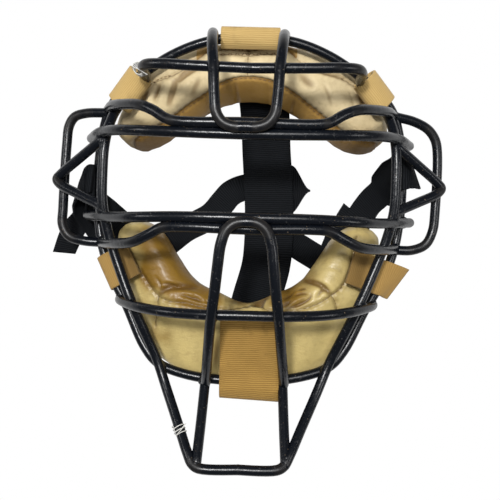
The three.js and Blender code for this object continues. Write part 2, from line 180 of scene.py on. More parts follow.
def make_mesh(name, grids, attributes=None, closed=True):
    """A mesh object from grids of points in millimetres, each (rows, columns, 3)."""
    points = np.concatenate([grid.reshape(-1, 3) for grid in grids]) / 1000
    starts = np.cumsum([0] + [grid.shape[0] * grid.shape[1] for grid in grids])
    faces = np.concatenate([
        grid_faces(grid.shape[0], grid.shape[1], closed, first) for grid, first in zip(grids, starts)])
    mesh = bpy.data.meshes.new(name)
    mesh.from_pydata(points, [], faces)
    piece = bpy.data.objects.new(name, mesh)
    for key, values in (attributes or {}).items():
        write(piece, key, np.concatenate([value.reshape(-1) for value in values]))
    scene.collection.objects.link(piece)
    return piece


def close_up(piece):
    """Merges points that coincide, turns every face outwards and shades the piece smooth."""
    shape = bmesh.new()
    shape.from_mesh(piece.data)
    bmesh.ops.remove_doubles(shape, verts=shape.verts, dist=2e-6)
    bmesh.ops.dissolve_degenerate(shape, dist=1e-7, edges=shape.edges)
    bmesh.ops.recalc_face_normals(shape, faces=shape.faces)
    for face in shape.faces:
        face.smooth = True
    shape.to_mesh(piece.data)
    shape.free()
    return piece


camera_data = bpy.data.cameras.new("camera")
camera_data.lens = CAMERA_LENS
camera_data.shift_x, camera_data.shift_y = CAMERA_SHIFT
camera = bpy.data.objects.new("camera", camera_data)
camera.location = CAMERA_PLACE
camera.rotation_euler = (0.0, 0.0, CAMERA_ROLL)
scene.collection.objects.link(camera)
scene.camera = camera

edges = (-TABLE_HALF, TABLE_HALF)
table = make_mesh("table", [np.array([[(x, y, 0) for x in edges] for y in edges])], closed=False)
table_finish = Finish("pale_table", Base_Color=TABLE_GREY, Roughness=0.9)
table_finish.give(Specular_IOR_Level=0.0)
# The table glows to the camera alone, which shows it white. The lamps light it grey.
seen = table_finish.node("ShaderNodeLightPath", {}, {}, "Is Camera Ray")
glow = table_finish.node("ShaderNodeEmission", {}, {"Color": WHITE, "Strength": 1.0})
table_finish.mixed_with(glow, seen)
table_finish.wear(table)

LIGHTS = [
    # name, place, size, power, turned about x and y
    ("key_light", (-0.16, 0.29, 1.26), 0.12, 13.0, (-13, -7)),
    ("overhead_light", (0.10, 0.30, 1.30), 0.6, 8.0, (-13, 4)),
    ("left_light", (-1.1, 0.3, 0.9), 0.4, 5.0, (0, -50)),
    ("right_light", (1.1, 0.0, 0.9), 0.4, 4.0, (0, 50)),
]
for name, place, size, power, (about_x, about_y) in LIGHTS:
    lamp = bpy.data.lights.new(name, "AREA")
    lamp.size = size
    lamp.energy = power
    light = bpy.data.objects.new(name, lamp)
    light.location = place
    light.rotation_euler = (radians(about_x), radians(about_y), 0.0)
    scene.collection.objects.link(light)

world = bpy.data.worlds.new("studio")
world.use_nodes = True
world.node_tree.nodes["Background"].inputs["Color"].default_value = WHITE
world.node_tree.nodes["Background"].inputs["Strength"].default_value = WORLD_LIGHT
scene.view_settings.view_transform = "Standard"
scene.world = world

# ---------------------------------------------------------------- cage
# Round steel rod bent to shape and butt welded, with a bead of weld wherever two rods meet.
# The whole cage is dipped in black coating, which is dusty and rubbed grey at its bends.

MASK_MIDDLE = np.array([5.419, 3.541, 0.0])   # middle plane of the mask, from the middle of its box
FRONT_WIRE = 6.6       # coated rod of the eye bars, nose loop and top loop
FRAME_WIRE = 6.5       # coated rod of everything else
RIM_LEAN = 0.009       # sideways lean of the rim for each millimetre up the face
FACE_LOOP_LEAN = 0.012
ROD_SIDES = 18
ROD_CUTS = 7
ROD_END_CUTS = 4
SHARP_BEND = 14        # bends of this radius or less count in full
END_WEAR = 0.8         # how worn the coating is at the ends of the rods and on the beads
BEAD_WEAR = 0.35
WELD_BEAD = 3.35       # radius of a bead where two rods cross, and of one round a butt weld
BUTT_BEAD = 3.3
WELD_REACH = 0.8       # how far apart two rods' skins may be and still be welded
ALONGSIDE = 0.93       # cosine of the angle under which two rods run side by side, unwelded

RIM = [
    # half, up, out
    (0.4, 132.4, 57), (28, 128.8, 57), (50, 121, 55), (70, 109.4, 51), (86, 97, 46), (94.6, 86.6, 42),
    (99.6, 73.6, 38), (102.6, 55.6, 35), (103.7, 34, 33.5), (102.8, 17, 33.5), (99.6, -3.5, 35),
    (92, -24.5, 38), (79.6, -46.6, 42), (66.4, -72.6, 46), (56.4, -83.4, 48), (35.4, -90.4, 50.5),
    (0, -93.8, 52)]

FACE_LOOP = [
    (0.4, -142, 84), (24, -141.8, 83.6), (28.5, -139.5, 82), (31.8, -134, 79), (38.2, -121, 70),
    (48.8, -99, 57), (56.6, -80, 53), (66.8, -57, 58), (74, -40.5, 60.5), (79, -29, 59),
    (87, -8.7, 57.5), (91.2, 5, 58.5), (94.2, 20, 60.5), (94.8, 40, 61.5), (94, 61, 61),
    (91, 78.6, 54.5), (85.6, 89.6, 48.8), (77.4, 97.2, 51), (70.8, 103.6, 54), (69.2, 104.4, 64),
    (68.8, 104.8, 77), (64.6, 105, 90), (54.4, 104.4, 95.5), (38, 103.4, 97.5), (0, 102.4, 98)]

TOP_LOOP = [
    (0, 66, 106.8), (7, 66, 106.8), (13.4, 68.5, 106.8), (17.2, 74, 106.8), (18.6, 84, 106.2),
    (19.8, 103, 103.8), (21.2, 117, 97), (22, 126.2, 84), (22.8, 130, 70), (23.2, 130.2, 58)]

EYE_BAR_1 = [
    (0, 69.3, 101.2), (44, 69.5, 100), (50, 71.5, 98.5), (57, 76, 96), (66, 80, 91), (80, 82.8, 76),
    (89.4, 84.6, 60), (95.6, 85, 42)]

EYE_BAR_2 = [
    (0, 62.4, 101.5), (52, 63.5, 98), (68, 64.4, 93), (82, 65.6, 83), (97, 67, 60), (107.8, 66, 36)]

EYE_BAR_3 = [
    (0, 12.6, 102), (41, 12.6, 99.5), (68, 12, 91), (82, 12, 77), (97, 13, 56), (109.5, 14, 34.5)]

EYE_BAR_4 = [
    (0, 6, 101), (40, 6.8, 98.5), (50, 6, 96.5), (59, 1.5, 93), (69, -3, 87), (80, -4.4, 75),
    (89.6, -4.7, 59), (99.4, -4.2, 38)]

NOSE_LOOP = [
    (0, 10.4, 107.2), (6.8, 9.4, 107.2), (11.8, 5.4, 107.2), (14.9, -3, 106.8), (16.6, -16, 105.5),
    (18.3, -32, 102.5), (20.2, -46, 97.8), (22.4, -66, 84), (24.4, -84, 67), (25.4, -93.6, 56.5)]

CHIN_HOOP = [
    (0, -46.2, 93), (25, -46.2, 92), (48, -45.6, 86), (66, -44.2, 74.5), (77.8, -42.8, 59.5),
    (83.4, -42.2, 48), (85, -42, 41)]

THROAT_LEG = [(25.4, -95, 55), (26.4, -118, 69), (27.6, -138.5, 81.5)]

EAR_GUARD = [
    (95.8, 62, 60.5), (112, 50.8, 51), (125.8, 40.8, 43.6), (128.8, 37.4, 42.2), (126.6, 34.2, 43.4),
    (112, 27.1, 50.5), (95.5, 20, 59.5)]

LEFT_EAR = [
    (96.4, 82.8, 41), (111, 82.4, 39.5), (118.8, 80, 38.5), (122.8, 74, 37.5), (124.2, 62, 37),
    (125.8, 18, 37), (125.8, 7, 37), (121.4, -0.5, 37), (112.4, -3.4, 37.5), (99, -4.4, 36.8)]

RIGHT_EAR = [
    (97, 84.8, 41.5), (110.5, 81.8, 40), (120, 77, 38.5), (125, 70.4, 37.5), (126.8, 62, 37),
    (126.2, 22, 37), (124.8, 8.5, 37), (120.2, -0.6, 37), (111, -4.6, 37.5), (98.8, -4.8, 36.6)]


def smooth_line(rows, cuts):
    """Points of a smooth line through the rows of a table, `cuts` of them to each gap.

    Between two rows it is the cubic that leaves and reaches them along slopes taken from the
    neighbouring rows, weighed by the square root of their distance.
    """
    rows = np.asarray(rows, float)
    padded = np.vstack([2 * rows[0] - rows[1], rows, 2 * rows[-1] - rows[-2]])
    step = np.sqrt(np.linalg.norm(np.diff(padded, axis=0), axis=1))[:, None]
    before, here, after = step[:-2], step[1:-1], step[2:]
    a, b, c, d = padded[:-3], padded[1:-2], padded[2:-1], padded[3:]
    leave = ((b - a) / before - (c - a) / (before + here) + (c - b) / here) * here
    reach = ((c - b) / here - (d - b) / (here + after) + (d - c) / after) * here
    t = (np.arange(cuts) / cuts)[None, :, None]
    b, c, leave, reach = (part[:, None, :] for part in (b, c, leave, reach))
    line = (b * (1 + t * t * (2 * t - 3)) + c * t * t * (3 - 2 * t)
            + leave * t * (1 - t) ** 2 + reach * t * t * (t - 1))
    return np.vstack([line.reshape(-1, rows.shape[1]), rows[-1]])


def unit(vectors):
    return vectors / np.linalg.norm(vectors, axis=-1, keepdims=True)


def halves(table, aside=0.0, lean=0.0):
    """A bar that crosses the mask: its table's rows on the left, then mirrored on the right.

    It sits `aside` mm to the right of the mask's middle, and leans to the right by a share
    of its height up the face.
    """
    right = np.array(table, float)
    left = right[::-1] * (-1, 1, 1)
    rows = np.vstack([left, right if table[0][0] > 0 else right[1:]])
    rows[:, 0] += aside + lean * rows[:, 1]
    return rows


def one_side(table, side):
    return np.array(table, float) * (side, 1, 1)


def rod(rows, diameter, facing):
    """Round rod: line + radius * (cos(turn) * side + sin(turn) * up), side square to `facing`.

    At both ends the line runs on by a sine as the radius falls by a cosine: half a ball.
    The second grid is how sharply the rod bends, from 0 to 1.
    """
    line = smooth_line(rows, ROD_CUTS)
    ahead = unit(np.gradient(line, axis=0))
    lengths = np.linalg.norm(np.gradient(line, axis=0), axis=1)
    bend = np.clip(np.linalg.norm(np.gradient(ahead, axis=0), axis=1) / lengths * SHARP_BEND, 0, 1)
    rounding = np.linspace(0, pi / 2, ROD_END_CUTS + 1)[1:]
    radius = diameter / 2
    start = line[0] - ahead[0] * radius * np.sin(rounding[::-1, None])
    end = line[-1] + ahead[-1] * radius * np.sin(rounding[:, None])
    line = np.vstack([start, line, end])
    ahead = np.pad(ahead, ((ROD_END_CUTS, ROD_END_CUTS), (0, 0)), mode="edge")
    bend = np.pad(bend, ROD_END_CUTS, constant_values=END_WEAR)
    full = np.ones(len(line) - 2 * ROD_END_CUTS)
    swell = np.concatenate([np.cos(rounding[::-1]), full, np.cos(rounding)])
    side = unit(np.cross(ahead, facing))
    up = np.cross(side, ahead)
    turn = np.linspace(0, 2 * pi, ROD_SIDES, endpoint=False)[None, :, None]
    spread = side[:, None] * np.cos(turn) + up[:, None] * np.sin(turn)
    points = line[:, None] + radius * swell[:, None, None] * spread
    return points + MASK_MIDDLE, np.repeat(bend[:, None], ROD_SIDES, 1)


def bead(place, along, size):
    """Bead of weld: a ball stretched along the joint, its skin rippled as the metal froze."""
    down = np.linspace(0, pi, 11)[:, None]
    turn = np.linspace(0, 2 * pi, 14, endpoint=False)[None, :]
    ripple = 1 + 0.035 * np.sin(5 * turn + place[0]) * np.sin(down) + 0.03 * np.cos(7 * down + place[1])
    ball = np.stack([
        np.sin(down) * np.cos(turn) * ripple, np.sin(down) * np.sin(turn) * ripple,
        np.cos(down) * ripple + 0 * turn], axis=-1)
    forward = unit(np.asarray(along, float))
    side = unit(np.cross(forward, (0.31, 0.42, 0.85)))
    frame_of_joint = np.stack([side * size, np.cross(side, forward) * size, forward * size * 1.25])
    return ball @ frame_of_joint + place + MASK_MIDDLE, np.full(ball.shape[:2], BEAD_WEAR)


Z_FACING = (0, 0, 1)
Y_FACING = (0, 1, 0)
CAGE_RODS = [
    # rows of the rod, diameter, a direction that it never runs along
    (halves(RIM, lean=RIM_LEAN), FRAME_WIRE, Z_FACING),
    (halves(FACE_LOOP, lean=FACE_LOOP_LEAN), FRAME_WIRE, (0, 0.6, 0.8)),
    (halves(TOP_LOOP, aside=-1.6), FRONT_WIRE, (0.6, -0.5, 0.62)),
    (halves(EYE_BAR_1), FRONT_WIRE, Y_FACING),
    (halves(EYE_BAR_2), FRONT_WIRE, Y_FACING),
    (halves(EYE_BAR_3), FRONT_WIRE, Y_FACING),
    (halves(EYE_BAR_4), FRONT_WIRE, Y_FACING),
    (halves(NOSE_LOOP, aside=0.7), FRONT_WIRE, Z_FACING),
    (halves(CHIN_HOOP), FRAME_WIRE, Y_FACING),
    (one_side(LEFT_EAR, -1), FRAME_WIRE, Z_FACING),
    (one_side(RIGHT_EAR, 1), FRAME_WIRE, Z_FACING),
    (one_side(EAR_GUARD, -1), FRAME_WIRE, Z_FACING),
    (one_side(EAR_GUARD, 1), FRAME_WIRE, Z_FACING),
    (one_side(THROAT_LEG, -1), FRAME_WIRE, (1, 0, 0)),
    (one_side(THROAT_LEG, 1), FRAME_WIRE, (1, 0, 0)),
]


def joints_between(one, other):
    """Where two rods meet: each nearest point of one line that lies within a rod of the other."""
    first, second = smooth_line(one[0], ROD_CUTS), smooth_line(other[0], ROD_CUTS)
    apart = np.linalg.norm(first[:, None] - second[None], axis=2)
    nearest = apart.min(axis=1)
    reach = (one[1] + other[1]) / 2 + WELD_REACH
    edge = np.pad(nearest, 1, constant_values=np.inf)
    places = np.flatnonzero((nearest < reach) & (nearest <= edge[:-2]) & (nearest < edge[2:]))
    partners = apart[places].argmin(axis=1)
    middles = (first[places] + second[partners]) / 2
    headings = unit(np.gradient(first, axis=0))[places]
    crossing = np.abs((headings * unit(np.gradient(second, axis=0))[partners]).sum(axis=1)) < ALONGSIDE
    return list(zip(middles[crossing], headings[crossing]))


rods = [rod(*row) for row in CAGE_RODS]
beads = [
    bead(place, heading, WELD_BEAD)
    for k, one in enumerate(CAGE_RODS) for other in CAGE_RODS[k + 1:]
    for place, heading in joints_between(one, other)]
beads += [
    bead(np.array([lean * up, up, out]), (1, 0, 0), BUTT_BEAD)
    for lean, up, out in ((RIM_LEAN, *RIM[0][1:]), (FACE_LOOP_LEAN, *FACE_LOOP[0][1:]))]
cage = close_up(make_mesh(
    "cage_rods", [points for points, _ in rods + beads], {"bend": [bend for _, bend in rods + beads]}))

coating = Finish("dipped_coating")
where = coating.place()
clouds = coating.noise(where, 60.0, 4.0, 0.62)
dust = (coating.attribute("bend") * 0.75 + clouds * 0.9 - 0.25).between(0.36, 0.95)
scuffs = coating.noise(coating.stretched(where, (1.0, 1.0, 0.6)), 420.0, 5.0, 0.7).between(0.6, 0.72)
specks = coating.noise(where, 900.0, 1.0, 0.4).between(0.74, 0.8)
shade = coating.blend(dust * 0.4, (0.0026, 0.0036, 0.0058), (0.016, 0.0135, 0.011))
shade = coating.blend(scuffs * 0.22, shade, (0.16, 0.155, 0.15))
shade = coating.blend(specks * 0.5, shade, (0.26, 0.19, 0.12))
coating.give(Base_Color=shade, Roughness=0.26 + dust * 0.13 + scuffs * 0.2, Specular_IOR_Level=0.28)
relief = coating.noise(where, 240.0, 3.0, 0.55) + coating.noise(where, 55.0, 1.0, 0.4) * 1.5
coating.give(Normal=coating.bump(relief, 0.00035, 0.5))
coating.wear(cage)
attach(cage, "root")
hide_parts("cage")

# ---------------------------------------------------------------- pads
# Each pad is foam in a sewn leather cover. It starts as a loft of rounded sections, a little
# too small, and is blown up as cloth that its seams hold down. Folds and grooves come after.

PAD_VOXEL = 4.0
PAD_INSET = 1.2       # how much smaller the pad is before it is blown up
PAD_SWELL = 3.2       # how far the leather may move out between the seams
SEAM_HOLD = 2.6       # half width of the strip that a seam holds down
PAD_CUTS = 8
PAD_PRESSURE = 4.0
PAD_STIFFNESS = 1.2
PAD_FRAMES = 20
SIDE_SEAM = 21.0      # height of the seam round a pad's walls
GROOVE = 1.5          # depth of a seam in the front, and half its width
GROOVE_HALF = 1.1
WALL_GROOVE = 1.3     # depth of the seam round the walls
PUCKER = 0.28         # height of the puckers beside a seam, how far out they reach, their pitch
PUCKER_REACH = 3.2
PUCKER_PITCH = 4.6
FOLD_DEPTH = 1.35     # depth of every crease, as a share of its row's
NO_SEAM = 12.0        # distance to a seam where there is none
DRAWN_END = (1.5, 2.0)  # how far the forehead pad's right end is drawn right and up the face
DRAWN_FROM = 62.0     # where that begins, right of the mask's middle, and how long it takes
DRAWN_LENGTH = 30.0
# The forehead pad's low ends are darkened with painted shade.
LOW_FROM = 77.0       # where the forehead pad's low ends start to darken, and how far that takes
LOW_LENGTH = 13.0
THREAD = 0.28         # half the thickness of the sewing thread

FOREHEAD_STATIONS = [
    # outer edge x, y, inner edge x, y, front at the outer and inner edge, back at both
    (0, 130.5, 0, 93.5, 50, 54, 20, 17), (21, 128.5, 19, 90, 50, 53, 18, 15),
    (40, 123.6, 32, 83.5, 48, 51, 14, 11), (57, 117, 43.5, 76, 46, 49, 9, 6),
    (71, 107.4, 55, 68.5, 42, 46, 3, 2), (82.6, 93.4, 66, 62.5, 39, 42, -2, -2),
    (91, 80, 77, 59.5, 36, 38, -2, -2), (94, 71, 87, 62.5, 30, 31, 2, 2)]

FOREHEAD_SECTION = [
    # across from the outer to the inner edge, level from the back to the front
    (-0.02, 0.25), (-0.09, 0.55), (-0.1, 0.84), (-0.07, 0.93), (0.08, 1.0), (0.42, 1.06), (0.62, 1.02),
    (0.68, 0.97), (0.88, 0.55), (1.01, 0.12), (0.94, 0), (0.5, 0), (0.08, 0)]

CHIN_STATIONS = [
    (0, -92, 0, -42.5, 46, 53, 24, 20), (20, -91.2, 17.5, -36, 46, 53, 23, 19),
    (38, -87.6, 28, -32, 46, 52, 20, 15), (54, -80, 34, -29, 44, 51, 10, 9),
    (66, -67.5, 39, -24.5, 43, 50, -6, 12), (76, -46, 43.5, -18, 41, 49, -6, 11),
    (83, -25, 49.5, -9, 39, 47, -6, 11), (88, -8, 57, 2.5, 36, 44, 5, 8),
    (89.5, 3, 66.5, 10.5, 34, 40, 5.2, 7), (86, 10, 76, 13, 28, 32, 9, 10)]

CHIN_SECTION = [
    (-0.02, 0.2), (-0.09, 0.5), (-0.1, 0.76), (-0.06, 0.88), (0.12, 0.99), (0.38, 1.03), (0.62, 1.07),
    (0.88, 0.96), (1.02, 0.58), (1, 0.2), (0.86, 0), (0.44, 0), (0.06, 0)]

FOREHEAD_SEAMS = {
    "band": [(-95, 55), (-85, 61.7), (-75.5, 68.4), (-66, 73.5), (-52, 82), (-42, 89), (-29, 97),
        (-21, 102), (-12, 105.4), (-2, 106.8), (10, 105.5), (20, 102), (29, 97.4), (38, 91.5),
        (52, 81.7), (64, 74), (76, 68.8), (87, 67.5), (96, 66.5)],
    "middle": [(-2.6, 129), (-2.7, 118), (-2.7, 106.8)],
    "lip": [(-27, 125.4), (-14, 125.9), (-3, 125.2), (7, 126.6), (19, 127.2)],
    "lip_hem": [(-25, 121.8), (-14, 122.4), (-3, 121.6), (7, 123), (18, 123.4)],
    "left_fold": [(-21, 129.5), (-29, 125), (-39, 117), (-52, 108.5), (-66, 104)],
    "right_fold": [(16, 130), (24, 126), (33, 118.5), (46, 113), (60, 110), (70, 104.5)],
}

CHIN_SEAMS = {
    "left_arm": [(-84.5, -3), (-77, -15), (-71, -24), (-65, -32.5), (-59, -39.5)],
    "left_roll": [(-59, -39.5), (-51, -42.5), (-40, -43), (-28, -45.5), (-14, -46.5), (-4, -45),
        (8, -42)],
    "right_roll": [(8, -42), (14, -46), (24, -47), (36, -45.5), (48, -41.5), (57, -36)],
    "right_arm": [(73.5, 3), (71.5, -6.5), (69.5, -17.5), (64, -30), (57, -36)],
    "left_drop": [(-59, -39.5), (-60, -50), (-61, -60)],
    "right_drop": [(57, -36), (60, -41), (61.5, -50)],
}


def chaikin(corners, times):
    """Cuts every corner of a closed outline, `times` over, which makes it round."""
    for _ in range(times):
        after = np.roll(corners, -1, axis=0)
        cut = [0.75 * corners + 0.25 * after, 0.25 * corners + 0.75 * after]
        corners = np.stack(cut, axis=1).reshape(-1, 2)
    return corners


def pad_loft(stations, section, drawn):
    """Pad: edges and heights by station, mixed across and up by each point of the section.

    Its right end is then moved by `drawn`, mm right and up, by a share that grows along it.
    """
    half = np.array(stations, float)
    whole = np.vstack([half[::-1] * (-1, 1, -1, 1, 1, 1, 1, 1), half[1:]])
    rows = smooth_line(whole, PAD_CUTS)[:, None, :]
    across, level = chaikin(np.array(section, float), 2).T
    plan = rows[..., 0:2] + (rows[..., 2:4] - rows[..., 0:2]) * across[None, :, None]
    plan = plan + np.clip((plan[..., :1] - DRAWN_FROM) / DRAWN_LENGTH, 0, 1) * drawn
    front = rows[..., 4] + (rows[..., 5] - rows[..., 4]) * across
    back = rows[..., 6] + (rows[..., 7] - rows[..., 6]) * across
    height = np.maximum(back + (front - back) * level, 0.2)
    return np.concatenate([plan, height[..., None]], axis=2) + MASK_MIDDLE


def vertices(mesh):
    places = np.empty(len(mesh.vertices) * 3)
    mesh.vertices.foreach_get("co", places)
    return places.reshape(-1, 3) * 1000


def normals(mesh):
    heads = np.empty(len(mesh.vertices) * 3, np.float32)
    mesh.vertex_normals.foreach_get("vector", heads)
    return heads.reshape(-1, 3).astype(float)


def move_vertices(mesh, places):
    mesh.vertices.foreach_set("co", (places / 1000).reshape(-1))
    mesh.update()


def apply_modifiers(piece):
    """Replaces the piece's mesh by what its modifiers make of it, and takes them off."""
    made = bpy.data.meshes.new_from_object(piece.evaluated_get(bpy.context.evaluated_depsgraph_get()))
    piece.modifiers.clear()
    piece.data = made


def from_line(places, rows):
    """Each place's distance in plan from a smooth line, its side of it, and how far along it is."""
    line = smooth_line(np.array(rows, float) + MASK_MIDDLE[:2], 5)
    start, step = line[:-1], np.diff(line, axis=0)
    length = np.linalg.norm(step, axis=1)
    offset = places[:, None, :2] - start
    share = np.clip((offset * step).sum(axis=2) / length ** 2, 0, 1)
    gap = offset - share[..., None] * step
    apart = np.linalg.norm(gap, axis=2)
    pick = apart.argmin(axis=1)
    row = np.arange(len(places))
    nearest = gap[row, pick]
    side = np.sign(step[pick, 0] * nearest[:, 1] - step[pick, 1] * nearest[:, 0])
    begun = np.concatenate([[0], np.cumsum(length)[:-1]])
    return apart[row, pick], side, begun[pick] + share[row, pick] * length[pick]


def blown_up(name, stations, section, seams, drawn=(0, 0)):
    """The pad as a cloth cover under pressure, pinned along its seams, and subdivided once."""
    pad = close_up(make_mesh(name, [pad_loft(stations, section, drawn)]))
    shape = bmesh.new()
    shape.from_mesh(pad.data)
    bmesh.ops.holes_fill(shape, edges=shape.edges, sides=0)
    bmesh.ops.recalc_face_normals(shape, faces=shape.faces)
    shape.to_mesh(pad.data)
    shape.free()
    remesh = pad.modifiers.new("remesh", "REMESH")
    remesh.mode = "VOXEL"
    remesh.voxel_size = PAD_VOXEL / 1000
    apply_modifiers(pad)
    start = vertices(pad.data)
    small = start - PAD_INSET * normals(pad.data)
    move_vertices(pad.data, small)
    facing = normals(pad.data)[:, 2] > 0.1
    held = np.min([from_line(start, rows)[0] for rows in seams.values()], axis=0) < SEAM_HOLD
    pins = pad.vertex_groups.new(name="seams")
    pins.add(np.flatnonzero(held & facing).tolist(), 1.0, "REPLACE")
    cloth = pad.modifiers.new("cloth", "CLOTH")
    cloth.settings.use_pressure = True
    cloth.settings.uniform_pressure_force = PAD_PRESSURE
    cloth.settings.effector_weights.gravity = 0.0
    cloth.settings.vertex_group_mass = "seams"
    cloth.settings.bending_stiffness = PAD_STIFFNESS
    cloth.settings.quality = 5
    for step in range(1, PAD_FRAMES + 1):
        scene.frame_set(step)
    apply_modifiers(pad)
    scene.frame_set(1)
    moved = vertices(pad.data) - small
    far = np.linalg.norm(moved, axis=1, keepdims=True)
    grown = small + moved * np.minimum(1, PAD_SWELL / np.maximum(far, 1e-6))
    grown[:, 2] = np.maximum(grown[:, 2], 0.3)
    move_vertices(pad.data, grown)
    finer = pad.modifiers.new("finer", "SUBSURF")
    finer.levels = 2
    apply_modifiers(pad)
    for face in pad.data.polygons:
        face.use_smooth = True
    return pad


FOREHEAD_CREASES = [
    # half width, depth (below 0 it stands proud), line in plan
    (2.6, 1.9, [(-34, 114.5), (-43, 110), (-49, 103)]),
    (3.0, 1.5, [(-50, 107), (-52.5, 98), (-56, 86)]), (2.6, 1.3, [(-60, 104), (-63.5, 97), (-66, 90)]),
    (2.2, 1.1, [(-68, 99.5), (-71.5, 94), (-74, 88.5)]),
    (3.2, -1.2, [(-55.5, 105), (-58.5, 96), (-61.5, 86)]),
    (2.4, -0.9, [(-64, 102), (-67.5, 95), (-70.5, 87)]),
    (3.0, -1.1, [(-40, 106), (-45, 98), (-50, 88)]), (2.6, 0.8, [(-34, 108), (-37, 100), (-41, 92)]),
    (1.6, 0.9, [(40, 113), (54, 111), (66, 108)]), (1.5, 0.7, [(47, 106), (51, 98), (54, 88)]),
    (2.2, 1.1, [(72, 100), (74.5, 95), (75.5, 89)]), (2.0, 0.9, [(79, 97), (81.5, 93), (83, 89)]),
    (2.6, -0.4, [(58, 104), (61, 97), (64, 89)]), (1.3, 0.5, [(64, 103), (67.5, 96), (69, 88)]),
    (3.0, 0.9, [(31, 112), (36, 106), (43, 101)]), (1.0, 0.9, [(-30.5, 96), (-30, 89), (-29, 81)]),
    (1.0, 1.0, [(-11.3, 105), (-10, 97), (-8.5, 88)]), (1.0, 0.9, [(29, 97), (28.5, 91), (27.5, 83)]),
    (1.4, 0.5, [(11, 105), (11.5, 98), (11.5, 90)]), (1.2, 0.5, [(-47, 84), (-45, 78), (-42, 72)]),
    (1.2, 0.5, [(50, 82), (48, 76), (46, 70)])]

CHIN_CREASES = [
    (2.2, 1.6, [(-60, -40), (-54, -34.5), (-46, -32.5), (-31, -32.5)]),
    (2.0, 1.5, [(58, -36.5), (49, -29), (36, -26)]), (3.2, 2.8, [(8, -45), (8, -41), (8, -33)]),
    (0.9, 1.3, [(31, -45), (38, -41), (42.5, -37.5), (43, -34)]),
    (0.85, 1.1, [(26.5, -45.5), (33, -42.5), (39.5, -38.5)]),
    (0.9, 1.0, [(31, -37), (36.5, -35), (41.5, -35.5)]),
    (0.85, 0.9, [(34, -33), (37, -32), (40, -31.8)]), (0.85, 0.9, [(20, -46), (26, -43), (31, -39)]),
    (0.85, 0.8, [(22, -39), (28, -37.5), (33, -33)]), (1.6, -0.8, [(29, -42), (35, -39), (40, -37)]),
    (1.4, 0.8, [(46, -38), (50, -33), (53, -30)]),
    (0.9, 1.1, [(-44, -37.5), (-36, -39.5), (-30.5, -42)]),
    (0.85, 0.9, [(-36, -38), (-32, -40), (-28, -43)]),
    (0.9, 0.8, [(-58, -31), (-52, -30.5), (-44, -33)]),
    (0.85, 0.7, [(-62, -26), (-58, -30), (-57, -35)]),
    (1.0, 0.6, [(-28, -41), (-25, -42), (-22.5, -43)]),
    (1.8, -0.7, [(-42, -35.5), (-34, -37), (-27, -39.5)]), (1.6, 1.0, [(8, -42), (5, -39), (2, -37)]),
    (1.5, 0.9, [(8, -42), (12, -39), (16, -36.5)]), (1.3, 0.6, [(2, -44), (-6, -42), (-14, -41)]),
    (1.2, 0.3, [(-74, -19), (-66, -22), (-57, -21)]),
    (1.2, 0.25, [(-77, -12), (-69, -13), (-60, -11)]), (1.4, 0.4, [(66, -22), (60, -18), (53, -17)]),
    (1.8, 0.5, [(70, -10), (64, -8), (58, -9)]), (2.6, 0.8, [(-18, -60), (-19, -74), (-20, -89)]),
    (2.4, 0.6, [(23, -58), (24, -72), (24, -86)]), (2.0, 0.5, [(-70, -50), (-66, -58), (-60, -66)])]

CHIN_STAINS = [
    # x, y, radius, strength: where the leather has gone brown
    (-66, 2, 12, 0.7), (-60, -8, 12, 0.65), (-50, -18, 12, 0.65), (-66, -26, 10, 0.9),
    (-50, -29, 12, 0.75), (-38, -38, 12, 1.1), (-34, -28, 8, 0.6), (-22, -41, 10, 0.95),
    (-4, -39, 6, 0.5), (20, -39, 9, 0.75), (34, -37, 11, 0.85), (44, -24, 8, 0.55), (52, -10, 8, 0.4),
    (58, 2, 8, 0.35), (66, -14, 6, 0.25), (-52, -68, 8, 0.35), (-72, -46, 6, 0.35), (-64, -66, 6, 0.4),
    (0, -88, 20, 0.35), (44, -80, 8, 0.3), (60, -66, 7, 0.3), (-84, -10, 6, 0.6), (80, 4, 6, 0.2),
    (24, -56, 7, 0.35)]


def crease(places, half_width, depth, rows):
    """depth * exp(-(distance / half width) ** 2), eased to nothing at both ends of the line."""
    apart, _, along = from_line(places, rows)
    ease = np.sin(pi * along / along.max()).clip(0) ** 0.7
    return FOLD_DEPTH * depth * ease * np.exp(-(apart / half_width) ** 2)


def sewn(pad, seams, creases):
    """Sinks the seams and creases into the front of a pad, with small puckers beside each seam.

    One more seam runs round its walls. Gives the places before that and how far each point faces
    the front. Writes the distance to a seam as "seam", the depth of the creases as "fold" and how
    far a point faces aside or back as "wall".
    """
    places, heads = vertices(pad.data), normals(pad.data)
    front = np.clip(heads[:, 2] * 2.5 + 0.6, 0, 1)
    lines = [from_line(places, rows) for rows in seams.values()]
    apart = np.stack([line[0] for line in lines])
    nearest = apart.argmin(axis=0)
    row = np.arange(len(places))
    along = np.stack([line[2] for line in lines])[nearest, row]
    apart = apart[nearest, row]
    puckers = PUCKER * np.exp(-apart / PUCKER_REACH) * np.sin(along * 2 * pi / PUCKER_PITCH)
    groove = GROOVE * np.exp(-(apart / GROOVE_HALF) ** 2) + puckers
    folds = sum(crease(places, *fold) for fold in creases)
    wall = np.clip(1.2 - 2 * np.abs(heads[:, 2]), 0, 1)
    level = np.abs(places[:, 2] - SIDE_SEAM)
    wall_groove = WALL_GROOVE * np.exp(-(level / GROOVE_HALF) ** 2)
    depth = front * (groove + folds) + wall * (1 - front) * wall_groove
    move_vertices(pad.data, places - depth[:, None] * heads)
    write(pad, "fold", folds * front)
    write(pad, "wall", 1 - front)
    on_front = np.where(front > 0.05, apart, NO_SEAM)
    on_wall = np.where(wall * (1 - front) > 0.2, level, NO_SEAM)
    write(pad, "seam", np.minimum(on_front, on_wall))
    return places, front


def darker(colour, share):
    return tuple(share * part for part in colour)


